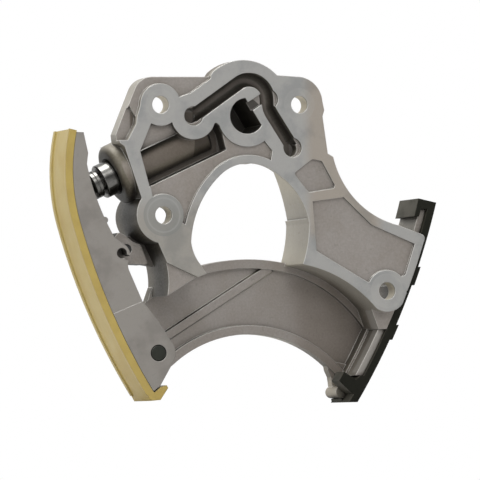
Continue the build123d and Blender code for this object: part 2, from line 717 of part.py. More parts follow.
    # Oil channel: straight walls over a round bottom, a well at each end and three shallow pockets
    with BuildSketch(depth_plane(0)):
        trace(channel_plan.line, line_width=CHANNEL_W)
    extrude(amount=-channel_side_depth, mode=Mode.SUBTRACT)
    with BuildSketch(Plane(origin=channel_floor.line @ 0, z_dir=channel_floor.line % 0)):
        Circle(CHANNEL_W / 2)
    sweep(path=channel_floor.line, mode=Mode.SUBTRACT)
    with BuildSketch(depth_plane(0)):
        with Locations(*CHANNEL_WELLS):
            Circle(CHANNEL_WELL_R)
    extrude(amount=-CHANNEL_DEPTH, mode=Mode.SUBTRACT)
    with BuildSketch(depth_plane(0)):
        with Locations(CHANNEL_START, CHANNEL_SIDE_POCKET, CHANNEL_END):
            Circle(CHANNEL_POCKET_R)
    extrude(amount=-CHANNEL_POCKET_DEPTH, mode=Mode.SUBTRACT)

housing.part.label = "housing"
export_step(housing.part, "parts/housing.step")

# Blade line of the arm: two arcs that meet without a kink
lean = (cos(radians(BLADE_LEAN)), sin(radians(BLADE_LEAN)))
upper_centre = (BLADE_JOIN[0] + BLADE_UPPER_R * lean[0], BLADE_JOIN[1] + BLADE_UPPER_R * lean[1])
lower_centre = (BLADE_JOIN[0] + BLADE_LOWER_R * lean[0], BLADE_JOIN[1] + BLADE_LOWER_R * lean[1])


def upper_blade(out, angle):
    """Point on the upper blade arc, a distance out from the arm's face."""
    return on_circle(upper_centre, BLADE_UPPER_R + out, angle)


def lower_blade(out, angle):
    """Point on the lower blade arc, a distance out from the arm's face."""
    return on_circle(lower_centre, BLADE_LOWER_R + out, angle)


def blade_strip(inner, outer):
    """Flat strip along the blade between two distances from the arm's face."""
    join = 180 + BLADE_LEAN
    top = BLADE_TOP_ANGLE - degrees(LINING_OVERHANG / BLADE_UPPER_R)
    upper_angles = [top, (top + join) / 2, join]
    lower_angles = [join, (join + BLADE_BOTTOM_ANGLE) / 2, BLADE_BOTTOM_ANGLE]
    with BuildSketch(Plane.XZ) as strip:
        with BuildLine():
            ThreePointArc(*[upper_blade(inner, a) for a in upper_angles])
            ThreePointArc(*[lower_blade(inner, a) for a in lower_angles])
            Line(lower_blade(inner, BLADE_BOTTOM_ANGLE), lower_blade(outer, BLADE_BOTTOM_ANGLE))
            ThreePointArc(*[lower_blade(outer, a) for a in reversed(lower_angles)])
            ThreePointArc(*[upper_blade(outer, a) for a in reversed(upper_angles)])
            Line(upper_blade(outer, top), upper_blade(inner, top))
        make_face()
    return strip.sketch_local


hub_depth = WEB_FRONT - WEB_RIM_H - HUB_AXIAL_GAP
tip_face = PISTON_FRONT - TIP_NECK_L - TIP_T - TIP_CROWN
blade_join_angle = 180 + BLADE_LEAN

with BuildPart() as tensioner_arm:
    with BuildSketch(depth_plane(ARM_FRONT + HUB_STEP)) as arm_outline:
        with BuildLine():
            ThreePointArc(
                upper_blade(0, BLADE_TOP_ANGLE),
                upper_blade(0, (BLADE_TOP_ANGLE + blade_join_angle) / 2),
                BLADE_JOIN,
            )
            ThreePointArc(
                BLADE_JOIN,
                lower_blade(0, (BLADE_BOTTOM_ANGLE + blade_join_angle) / 2),
                lower_blade(0, BLADE_BOTTOM_ANGLE),
            )
            Polyline(lower_blade(0, BLADE_BOTTOM_ANGLE), (-33.3, -113.2), (-30.8, -111.2))
            Line((-30.8, -111.2), on_circle(PIVOT, HUB_R, -30))
            ThreePointArc(*[on_circle(PIVOT, HUB_R, angle) for angle in (-30, 0, 24)])
            ThreePointArc(on_circle(PIVOT, HUB_R, 24), (-30.4, -86.9), (-37.4, -78.0))
            Line((-37.4, -78.0), (-42.6, -65.9))
            ThreePointArc((-42.6, -65.9), (-43.2, -63.8), (-43.0, -61.7))
            ThreePointArc((-43.0, -61.7), (-42.3, -58.6), (-44.9, -55.0))
            Line((-44.9, -55.0), (-48.6, -52.3))
            ThreePointArc((-48.6, -52.3), (-56.0, -35.9), (-59.4, -23.3))
            Polyline((-59.4, -23.3), (-58.8, -18.9), (-60.5, -10.7), upper_blade(0, BLADE_TOP_ANGLE))
        make_face()
    extrude(amount=ARM_FRONT + HUB_STEP - ARM_BACK)

    # Raised hub face and the shorter rear of the hub
    with BuildSketch(depth_plane(ARM_FRONT + HUB_STEP)):
        add(arm_outline.sketch_local)
        with BuildLine():
            Polyline(HUB_STEP_LEFT, HUB_STEP_RIGHT, (0, HUB_STEP_RIGHT[1]), (0, -REACH), (-REACH, -REACH))
            Line((-REACH, -REACH), HUB_STEP_LEFT)
        make_face(mode=Mode.INTERSECT)
    extrude(amount=HUB_STEP)
    with BuildSketch(depth_plane(hub_depth)):
        with Locations((PIVOT[0], HUB_RELIEF_TOP)):
            Rectangle(REACH, REACH, align=(Align.CENTER, Align.MAX))
    extrude(amount=hub_depth - ARM_BACK, mode=Mode.SUBTRACT)

    # Slot behind the lock hole, an arc about the pivot that passes over the bracket's lug
    lug_reach = [hypot(p[0] - PIVOT[0], p[1] - PIVOT[1]) for p in LUG_OUTLINE]
    lug_angle = max(degrees(atan2(p[1] - PIVOT[1], p[0] - PIVOT[0])) for p in LUG_OUTLINE)
    slot_angle = lug_angle + ARM_SWING_IN + degrees(LUG_GAP / max(lug_reach))
    with BuildSketch(depth_plane(LUG_FRONT - LUG_GAP)):
        with Locations(PIVOT):
            Circle(max(lug_reach) + LUG_GAP)
            Circle(min(lug_reach) - LUG_GAP, mode=Mode.SUBTRACT)
        with BuildLine():
            Polyline(PIVOT, on_circle(PIVOT, REACH, slot_angle), (PIVOT[0], REACH), (0, REACH), PIVOT)
        make_face(mode=Mode.INTERSECT)
    extrude(amount=LUG_FRONT - LUG_GAP - ARM_BACK, mode=Mode.SUBTRACT)

    # Pad that the piston pushes on, and the ejector nub
    with BuildSketch(mouth_plane.offset(tip_face - PAD_GAP)):
        Circle(PAD_R)
    extrude(amount=-PAD_L)
    with BuildSketch(depth_plane(NUB_FRONT)):
        with Locations(NUB):
            Circle(NUB_R)
    extrude(amount=-NUB_W)

    with Locations(depth_plane(0)):
        with Locations(PIVOT):
            Hole(PIN_R + PIN_RUNNING_CLEARANCE)
        with Locations(LOCK_HOLE):
            Hole(LOCK_HOLE_R)
        with Locations(LOCK_SIDE_HOLE):
            Hole(LOCK_SIDE_HOLE_R)

tensioner_arm.part.label = "tensioner_arm"
export_step(tensioner_arm.part, "parts/tensioner_arm.step")

with BuildPart() as arm_lining:
    with BuildSketch(depth_plane(ARM_FRONT)):
        add(blade_strip(LINING_GAP, LINING_GAP + LINING_T))
        with BuildLine():
            Polyline(
                lower_blade(LINING_GAP, BLADE_BOTTOM_ANGLE),
                (-33.3, -113.9),
                (-30.7, -111.8),
                (-28.2, -111.1),
                (-27.6, -112.2),
                (-30.9, -116.9),
                (-34.9, -117.2),
                lower_blade(LINING_GAP + LINING_T, BLADE_BOTTOM_ANGLE - 0.4),
                close=True,
            )
        make_face()
    extrude(amount=ARM_FRONT - ARM_BACK)
    for front, width in ((ARM_FRONT, FRONT_LIP_W), (ARM_BACK - REAR_LIP_W, REAR_LIP_W)):
        with BuildSketch(depth_plane(front)):
            add(blade_strip(LINING_GAP + LINING_T / 2, LINING_GAP + LINING_T + LIP_H))
        extrude(amount=-width)

arm_lining.part.label = "arm_lining"
export_step(arm_lining.part, "parts/arm_lining.step")

with BuildPart() as pivot_pin:
    with BuildSketch(depth_plane(ARM_FRONT)):
        with Locations(PIVOT):
            Circle(PIN_R)
    extrude(amount=ARM_FRONT - BODY_DEPTH - HUB_BOSS_REAR)
    chamfer(pivot_pin.edges().filter_by(GeomType.CIRCLE), length=0.4)

pivot_pin.part.label = "pivot_pin"
export_step(pivot_pin.part, "parts/pivot_pin.step")

# Guide rail with the hooks that hold it on the flange and the foot
rail_inner_r = RAIL_OUTER_R - RAIL_T
rail_middle_r = rail_inner_r + RAIL_T / 2
hook_outer_r = flange_outer_r - FLANGE_T - RAIL_GAP
hook_inner_r = hook_outer_r - HOOK_LEG_T
with BuildPart() as guide_rail:
    with BuildSketch(depth_plane(RAIL_FRONT)):
        add(arc_strip(RAIL_CENTRE, rail_inner_r, RAIL_OUTER_R, RAIL_TOP, RAIL_BOTTOM))
        add(arc_strip(RAIL_CENTRE, hook_inner_r, rail_middle_r, RAIL_TOP, FLANGE_TOP + RAIL_GAP))
        add(arc_strip(RAIL_CENTRE, hook_inner_r, hook_outer_r, RAIL_TOP, HOOK_LEG_BOTTOM))
        with Locations(Location((RAIL_TOP_KNEE, RAIL_TOP, 0), (0, 0, -RAIL_TOP_FALL))):
            Rectangle(4 * RAIL_T, RAIL_T, align=(Align.MIN, Align.MIN), mode=Mode.SUBTRACT)
    extrude(amount=RAIL_FRONT - BODY_DEPTH)
    for tab_top, tab_bottom in TABS:
        with BuildSketch(depth_plane(RAIL_FRONT)):
            add(arc_strip(RAIL_CENTRE, rail_middle_r, RAIL_OUTER_R + TAB_H, tab_top, tab_bottom))
        extrude(amount=-TAB_W)
    with BuildSketch(depth_plane(RAIL_FRONT)):
        with BuildLine():
            Polyline(
                circle_point(RAIL_CENTRE, rail_middle_r, FLANGE_BOTTOM - 0.2),
                (55.2, FLANGE_BOTTOM - 0.2),
                (53.2, -110.4),
                (48.3, -107.1),
                (46.0, -110.7),
                (50.4, -115.0),
                circle_point(RAIL_CENTRE, rail_middle_r, -117.0),
                close=True,
            )
        make_face()
    extrude(amount=RAIL_FRONT - FOOT_FRONT + 2 * RAIL_GAP)
    with BuildSketch(depth_plane(FOOT_FRONT)):
        with BuildLine():
            Polyline(
                circle_point(RAIL_CENTRE, rail_middle_r, -116.6),
                (53.0, -117.2),
                (50.2, -117.8),
                (50.4, -118.9),
                (51.4, RAIL_BOTTOM),
                circle_point(RAIL_CENTRE, rail_middle_r, RAIL_BOTTOM),
                close=True,
            )
        make_face()
    extrude(amount=FOOT_FRONT - BODY_DEPTH)

guide_rail.part.label = "guide_rail"
export_step(guide_rail.part, "parts/guide_rail.step")

# Steel piston, hollow at the rear, with a disc-shaped tip in front of its neck
piston_r = BORE_R - PISTON_CLEARANCE
cavity_front = PISTON_FRONT + PISTON_CROWN_T
groove_start = tip_face + TIP_CROWN + (TIP_T - TIP_GROOVE_W) / 2
with BuildPart() as piston:
    with BuildSketch(section_plane):
        with BuildLine():
            ThreePointArc((tip_face, 0), (tip_face + TIP_CROWN / 4, TIP_R / 2), (tip_face + TIP_CROWN, TIP_R))
            Polyline(
                (tip_face + TIP_CROWN, TIP_R),
                (groove_start, TIP_R),
                (groove_start, TIP_R - TIP_GROOVE_DEPTH),
                (groove_start + TIP_GROOVE_W, TIP_R - TIP_GROOVE_DEPTH),
                (groove_start + TIP_GROOVE_W, TIP_R),
                (tip_face + TIP_CROWN + TIP_T, TIP_R),
                (tip_face + TIP_CROWN + TIP_T, TIP_NECK_R),
                (PISTON_FRONT, TIP_NECK_R),
                (PISTON_FRONT, piston_r - PISTON_EDGE_CHAMFER),
                (PISTON_FRONT + PISTON_EDGE_CHAMFER, piston_r),
                (PISTON_REAR - PISTON_EDGE_CHAMFER, piston_r),
                (PISTON_REAR, piston_r - PISTON_EDGE_CHAMFER),
                (PISTON_REAR, PISTON_CAVITY_R),
                (cavity_front, PISTON_CAVITY_R),
                (cavity_front, 0),
                (tip_face, 0),
            )
        make_face()
    revolve(axis=cylinder_axis)

piston.part.label = "piston"
export_step(piston.part, "parts/piston.step")

# Plastic guide in the piston: a flange under the spring and a rod that fills its middle
guide_rear = cavity_front + GUIDE_CLEARANCE + GUIDE_FLANGE_T
with BuildPart() as spring_guide:
    with BuildSketch(mouth_plane.offset(cavity_front + GUIDE_CLEARANCE)):
        Circle(PISTON_CAVITY_R - GUIDE_CLEARANCE)
    extrude(amount=GUIDE_FLANGE_T)
    with BuildSketch(mouth_plane.offset(guide_rear)):
        Circle(GUIDE_ROD_R)
    extrude(amount=GUIDE_ROD_L)
    chamfer(spring_guide.faces().sort_by(cylinder_axis)[-1].edges(), length=0.6)

spring_guide.part.label = "spring_guide"
export_step(spring_guide.part, "parts/spring_guide.step")

# Check valve at the bottom of the bore: seat, ball, cage and ball spring
seat_face = BORE_LENGTH - SEAT_T
with BuildPart() as check_valve_seat:
    with BuildSketch(mouth_plane.offset(seat_face)):
        Circle(BORE_R - SEAT_FIT)
        Circle(SEAT_HOLE_R, mode=Mode.SUBTRACT)
    extrude(amount=SEAT_T)

check_valve_seat.part.label = "check_valve_seat"
export_step(check_valve_seat.part, "parts/check_valve_seat.step")

ball_centre = seat_face - sqrt((BALL_R + BALL_GAP) ** 2 - SEAT_HOLE_R**2)
ball_plane = mouth_plane.offset(ball_centre)
with BuildPart() as check_ball:
    with Locations(ball_plane):
        Sphere(BALL_R)

check_ball.part.label = "check_ball"
export_step(check_ball.part, "parts/check_ball.step")

cage_top = seat_face - CAGE_LENGTH
with BuildPart() as check_ball_cage:
    with BuildSketch(section_plane):
        with BuildLine():
            Polyline(
                (cage_top, CAGE_PORT_R),
                (cage_top, CAGE_R),
                (seat_face - CAGE_FLANGE_T, CAGE_R),
                (seat_face - CAGE_FLANGE_T, CAGE_FLANGE_R),
                (seat_face, CAGE_FLANGE_R),
                (seat_face, CAGE_R - CAGE_WALL),
                (cage_top + CAGE_WALL, CAGE_R - CAGE_WALL),
                (cage_top + CAGE_WALL, CAGE_PORT_R),
                close=True,
            )
        make_face()
    revolve(axis=cylinder_axis)

check_ball_cage.part.label = "check_ball_cage"
export_step(check_ball_cage.part, "parts/check_ball_cage.step")


def coil_spring(start, end, coil_r, wire_r, turns):
    """Coil of six-sided wire on the cylinder axis, between two distances from the mouth."""
    height = end - start - 2 * wire_r
    coil_plane = mouth_plane.offset(start + wire_r)
    with BuildPart() as spring:
        with BuildLine() as coil:
            Helix(height / turns, height, coil_r, center=coil_plane.origin, direction=coil_plane.z_dir)
        with BuildSketch(Plane(origin=coil.line @ 0, z_dir=coil.line % 0)):
            RegularPolygon(wire_r, side_count=6)
        sweep(path=coil.line, is_frenet=True)
    return spring.part


ball_spring = coil_spring(
    cage_top + CAGE_WALL + END_CLEARANCE,
    ball_centre - sqrt(BALL_R**2 - (BALL_SPRING_R - 2 * BALL_SPRING_WIRE_R) ** 2) - BALL_GAP,
    BALL_SPRING_R,
    BALL_SPRING_WIRE_R,
    BALL_SPRING_TURNS,
)
ball_spring.label = "check_ball_spring"
export_step(ball_spring, "parts/check_ball_spring.step")

main_spring = coil_spring(
    guide_rear + END_CLEARANCE,
    seat_face - CAGE_FLANGE_T - END_CLEARANCE,
    SPRING_R - SPRING_WIRE_R,
    SPRING_WIRE_R,
    SPRING_TURNS,
)
main_spring.label = "piston_spring"
export_step(main_spring, "parts/piston_spring.step")
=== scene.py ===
"""Blender scene of a timing chain tensioner: finishes, wear, camera, lamps and floor.

Everything is in metres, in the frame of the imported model: x to the right along the upper bolt
row, y into the casting from its mating face, z up.
"""

import logging
import math
from dataclasses import dataclass
from enum import Enum

import bpy
from mathutils import Matrix, Vector


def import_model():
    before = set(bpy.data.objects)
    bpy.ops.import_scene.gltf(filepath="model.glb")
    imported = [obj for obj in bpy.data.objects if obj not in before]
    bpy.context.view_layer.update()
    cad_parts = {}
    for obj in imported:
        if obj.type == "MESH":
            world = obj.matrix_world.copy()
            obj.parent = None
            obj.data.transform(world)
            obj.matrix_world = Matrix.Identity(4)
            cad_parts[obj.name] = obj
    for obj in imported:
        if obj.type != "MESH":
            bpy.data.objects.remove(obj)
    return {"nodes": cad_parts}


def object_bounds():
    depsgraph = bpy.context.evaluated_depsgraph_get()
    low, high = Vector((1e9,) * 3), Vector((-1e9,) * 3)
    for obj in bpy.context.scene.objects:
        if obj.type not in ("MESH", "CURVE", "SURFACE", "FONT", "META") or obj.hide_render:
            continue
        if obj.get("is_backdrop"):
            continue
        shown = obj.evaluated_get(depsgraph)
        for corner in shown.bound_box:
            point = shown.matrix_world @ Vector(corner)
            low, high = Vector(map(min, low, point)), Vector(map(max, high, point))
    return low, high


LOG = logging.getLogger("tensioner")

Colour = tuple[float, float, float]
Point = tuple[float, float, float]
Place = tuple[float, float]  # x and z on the mating face
Span = tuple[float, float]  # lower and upper end
Stop = tuple[float, float]  # position and grey level on a ramp

WHITE = (1.0, 1.0, 1.0)
INTO_CASTING = (0.0, 1.0, 0.0)
OUT_OF_BORE = (-0.91355, 0.0, -0.40674)

UPPER_LEFT_BOLT = (-0.0293, 0.0)
UPPER_RIGHT_BOLT = (0.0293, 0.0)
LOWER_LEFT_BOLT = (-0.0290, -0.0438)
LOWER_RIGHT_BOLT = (0.0652, -0.0750)
GALLERY = (0.0070, -0.0045)
BOLTS = (UPPER_LEFT_BOLT, UPPER_RIGHT_BOLT, LOWER_LEFT_BOLT, LOWER_RIGHT_BOLT)
BOLT_HOLE_RADIUS = 0.0035
BOLT_HOLE_DEPTH = 0.0075

# How alike the rounded and the flat direction are, in the middle of an edge and on a flat
MID_EDGE = 0.8
FLAT = 0.995


class Mode(Enum):
    """How one colour lies over another."""

    MIX = "MIX"
    MULTIPLY = "MULTIPLY"


class Signal:
    """An output socket that takes part in Python expressions as a number."""

    def __init__(self, graph: "Graph", socket: bpy.types.NodeSocket) -> None:
        """Keeps the socket and the graph that it belongs to.

        Args:
            graph: The graph that new nodes go into.
            socket: The output socket.
        """
        self.graph = graph
        self.socket = socket

    def maths(self, operation: str, *values: "Signal | float") -> "Signal":
        """Adds a Math node.

        Args:
            operation: The Math node's operation.
            values: Its operands in order.

        Returns:
            The result.
        """
        return self.graph.node("ShaderNodeMath", {"operation": operation}, dict(enumerate(values)))

    def __add__(self, other: "Signal | float") -> "Signal":
        """Returns the sum."""
        return self.maths("ADD", self, other)

    def __radd__(self, other: float) -> "Signal":
        """Returns the sum."""
        return self.maths("ADD", other, self)

    def __sub__(self, other: "Signal | float") -> "Signal":
        """Returns the difference."""
        return self.maths("SUBTRACT", self, other)

    def __rsub__(self, other: float) -> "Signal":
        """Returns the difference with this signal taken away."""
        return self.maths("SUBTRACT", other, self)

    def __mul__(self, other: "Signal | float") -> "Signal":
        """Returns the product."""
        return self.maths("MULTIPLY", self, other)

    def __rmul__(self, other: float) -> "Signal":
        """Returns the product."""
        return self.maths("MULTIPLY", other, self)

    def __neg__(self) -> "Signal":
        """Returns the negative."""
        return self.maths("MULTIPLY", self, -1.0)

    def larger(self, other: "Signal") -> "Signal":
        """Returns the larger of two signals."""
        return self.maths("MAXIMUM", self, other)

    def rise(self, low: float, high: float) -> "Signal":
        """Returns a soft step that is 0 below low and 1 above high."""
        return self._step(low, high, 0.0, 1.0)

    def fall(self, low: float, high: float) -> "Signal":
        """Returns a soft step that is 1 below low and 0 above high."""
        return self._step(low, high, 1.0, 0.0)

    def _step(self, low: float, high: float, before: float, after: float) -> "Signal":
        """Adds a soft step.

        Args:
            low: Where it starts.
            high: Where it ends.
            before: The result below its start.
            after: The result above its end.

        Returns:
            The step.
        """
        sockets = {0: self, 1: low, 2: high, 3: before, 4: after}
        return self.graph.node("ShaderNodeMapRange", {"interpolation_type": "SMOOTHSTEP"}, sockets)

    def within(self, low: float, high: float, soft: float) -> "Signal":
        """Marks a range.

        Args:
            low: The range's start.
            high: Its end.
            soft: The width of the soft step at either end.

        Returns:
            1 inside the range, 0 outside.
        """
        return self.rise(low - soft, low) * self.fall(high, high + soft)


class Graph:
    """The node tree of one material or of the world."""

    def __init__(self, owner: bpy.types.Material | bpy.types.World) -> None:
        """Empties the owner's node tree.

        Args:
            owner: The material or world.
        """
        self.owner = owner
        owner.use_nodes = True
        self.tree = owner.node_tree
        self.tree.nodes.clear()

    def node(
        self,
        kind: str,
        settings: dict[str, object] | None = None,
        sockets: dict[str | int, object] | None = None,
        out: str | int | None = 0,
    ) -> Signal | None:
        """Adds any node.

        Args:
            kind: The node's type.
            settings: Its properties, set first; "stops" are a ramp's positions and grey levels.
            sockets: Values or signals for its inputs, by name or number.
            out: The output that is wanted, by name or number, or None for a node without one.

        Returns:
            That output.
        """
        made = self.tree.nodes.new(kind)
        for key, value in (settings or {}).items():
            if key == "stops":
                self._set_stops(made.color_ramp, value)
            else:
                setattr(made, key, value)
        for key, value in (sockets or {}).items():
            if isinstance(value, Signal):
                self.tree.links.new(value.socket, made.inputs[key])
            elif isinstance(value, tuple) and len(made.inputs[key].default_value) == 4:
                made.inputs[key].default_value = (*value, 1.0)
            else:
                made.inputs[key].default_value = value
        return None if out is None else Signal(self, made.outputs[out])

    def _set_stops(self, ramp: bpy.types.ColorRamp, stops: tuple[Stop, ...]) -> None:
        """Writes a grey ramp's stops.

        Args:
            ramp: The ramp.
            stops: Positions and grey levels.
        """
        while len(ramp.elements) < len(stops):
            ramp.elements.new(1.0)
        for element, (position, level) in zip(ramp.elements, stops):
            element.position = position
            element.color = (level, level, level, 1.0)

    def blend(
        self,
        factor: Signal | float,
        below: Signal | Colour,
        above: Signal | Colour,
        mode: Mode = Mode.MIX,
    ) -> Signal:
        """Lays one colour over another.

        Args:
            factor: How much of the upper colour shows.
            below: The lower colour.
            above: The upper colour.
            mode: How they meet.

        Returns:
            The mixed colour.
        """
        settings = {"data_type": "RGBA", "blend_type": mode.value, "clamp_factor": True}
        return self.node("ShaderNodeMix", settings, {0: factor, 6: below, 7: above}, out=2)

    def vectors(self, operation: str, *values: Signal | Point, out: str = "Vector") -> Signal:
        """Adds a Vector Math node.

        Args:
            operation: Its operation.
            values: Its vectors in order.
            out: The output that is wanted, "Value" where the result is a number.

        Returns:
            That output.
        """
        return self.node("ShaderNodeVectorMath", {"operation": operation}, dict(enumerate(values)), out)

    def place(self) -> Signal:
        """Returns the point on the piece, in metres."""
        return self.node("ShaderNodeTexCoord", out="Object")

    def facing(self) -> Signal:
        """Returns the surface direction in the piece's own frame."""
        return self.node("ShaderNodeTexCoord", out="Normal")

    def ray(self, kind: str) -> Signal:
        """Returns 1 for rays of a kind, such as Camera or Glossy."""
        return self.node("ShaderNodeLightPath", out=f"Is {kind} Ray")

    def part(self, vector: Signal, axis: str) -> Signal:
        """Returns the X, Y or Z part of a vector."""
        return self.node("ShaderNodeSeparateXYZ", sockets={0: vector}, out=axis)

    def noise(self, where: Signal, size: float, detail: float = 3.0, rough: float = 0.55) -> Signal:
        """Adds cloudy noise.

        Args:
            where: The point that is looked up.
            size: The width of one cloud, in metres.
            detail: Finer layers on top.
            rough: How strong they are.

        Returns:
            Noise about 0.5.
        """
        sockets = {"Vector": where, "Scale": 1 / size, "Detail": detail, "Roughness": rough}
        return self.node("ShaderNodeTexNoise", sockets=sockets)

    def rounded(self, radius: float) -> Signal:
        """Returns the surface direction with every edge rounded to a radius in metres."""
        return self.node("ShaderNodeBevel", {"samples": 6}, {"Radius": radius})

    def edges(self, rounded: Signal) -> Signal:
        """Finds the rounded edges.

        Args:
            rounded: The rounded surface direction.

        Returns:
            0 on flats, rising to 1 in the middle of an edge.
        """
        flat = self.node("ShaderNodeNewGeometry", out="True Normal")
        likeness = self.vectors("DOT_PRODUCT", rounded, flat, out="Value")
        return likeness.fall(MID_EDGE, FLAT)

    def from_hole(self, where: Signal, middle: Place) -> Signal:
        """Measures the distance from the middle line of a hole along y.

        Args:
            where: The point.
            middle: The hole's x and z.

        Returns:
            The distance in metres.
        """
        away = self.vectors("SUBTRACT", where, (middle[0], 0.0, middle[1]))
        across = self.vectors("CROSS_PRODUCT", away, INTO_CASTING)
        return self.vectors("LENGTH", across, out="Value")

    def openness(self, reach: float) -> Signal:
        """Returns 1 in the open and 0 in a corner that is as deep as reach, in metres."""
        return self.node("ShaderNodeAmbientOcclusion", {"samples": 8}, {"Distance": reach}, out="AO")

    def bump(self, height: Signal, depth: float, normal: Signal) -> Signal:
        """Raises a surface.

        Args:
            height: Height between 0 and 1.
            depth: The height of 1, in metres.
            normal: The direction of the smooth surface.

        Returns:
            The direction of the raised surface.
        """
        return self.node("ShaderNodeBump", sockets={"Distance": depth, "Height": height, "Normal": normal})

    def finish(self, sockets: dict[str, object]) -> bpy.types.Material:
        """Ends a material with one surface shader.

        Args:
            sockets: The shader's inputs.

        Returns:
            The finished material.
        """
        shader = self.node("ShaderNodeBsdfPrincipled", sockets=sockets)
        self.node("ShaderNodeOutputMaterial", sockets={"Surface": shader}, out=None)
        return self.owner


@dataclass(frozen=True)
class Mottle:
    """Cloudy noise that is cut off softly into patches."""

    size: float
    low: float
    high: float
    detail: float = 4.0
    rough: float = 0.55

    def mask(self, g: Graph, where: Signal) -> Signal:
        """Returns 1 on the patches and 0 between them."""
        return g.noise(where, self.size, self.detail, self.rough).rise(self.low, self.high)


@dataclass(frozen=True)
class Spot:
    """A box-shaped place with soft sides on the casting that gets a colour laid over it; on the land these
    are real stains, elsewhere mostly painted shade and painted light.
    """

    shade: Colour
    centre: Point
    reach: Point
    soft: float
    strength: float = 1.0
    mode: Mode = Mode.MULTIPLY

    def mask(self, g: Graph, where: Signal) -> Signal:
        """Finds the place.

        Args:
            g: The graph.
            where: The point on the piece.

        Returns:
            The strength inside, falling to 0 outside.
        """
        found: Signal | float = self.strength
        for axis, middle, reach in zip("XYZ", self.centre, self.reach):
            found = g.part(where, axis).within(middle - reach, middle + reach, self.soft) * found
        return found


@dataclass(frozen=True)
class Washer:
    """The ring that a bolt's washer has left on the milled face."""

    middle: Place
    inner: float
    outer: float
    shade: Colour
    strength: float
    soft: float = 0.0004
    line_width: float = 0.0002
    line_soft: float = 0.0003
    line_share: float = 0.2

    def mask(self, g: Graph, where: Signal) -> Signal:
        """Finds the ring, which is strongest along its outer line.

        Args:
            g: The graph.
            where: The point on the piece.

        Returns:
            The strength on the ring, 0 elsewhere.
        """
        reach = g.from_hole(where, self.middle)
        ring = reach.within(self.inner, self.outer, self.soft)
        line = reach.within(self.outer - self.line_width, self.outer, self.line_soft)
        return (ring * (1.0 - self.line_share) + line * self.line_share) * self.strength


@dataclass(frozen=True)
class Bore:
    """A hole along y whose wall gets a painted colour: lighter as painted light in the bolt holes, dark as
    painted shade in the gallery.
    """

    middle: Place
    radius: float
    depth: float
    shade: Colour
    strength: float = 1.0
    slack: float = 0.0001
    mouth: float = 0.0012
    mouth_soft: float = 0.0011

    def mask(self, g: Graph, where: Signal) -> Signal:
        """Finds the wall of the hole.

        Args:
            g: The graph.
            where: The point on the piece.

        Returns:
            The strength on the wall, 0 elsewhere.
        """
        reach = g.from_hole(where, self.middle)
        inside = reach.fall(self.radius + self.slack, self.radius + 3 * self.slack)
        deep = g.part(where, "Y").within(self.mouth, self.depth + self.slack, self.mouth_soft)
        return inside * deep * self.strength


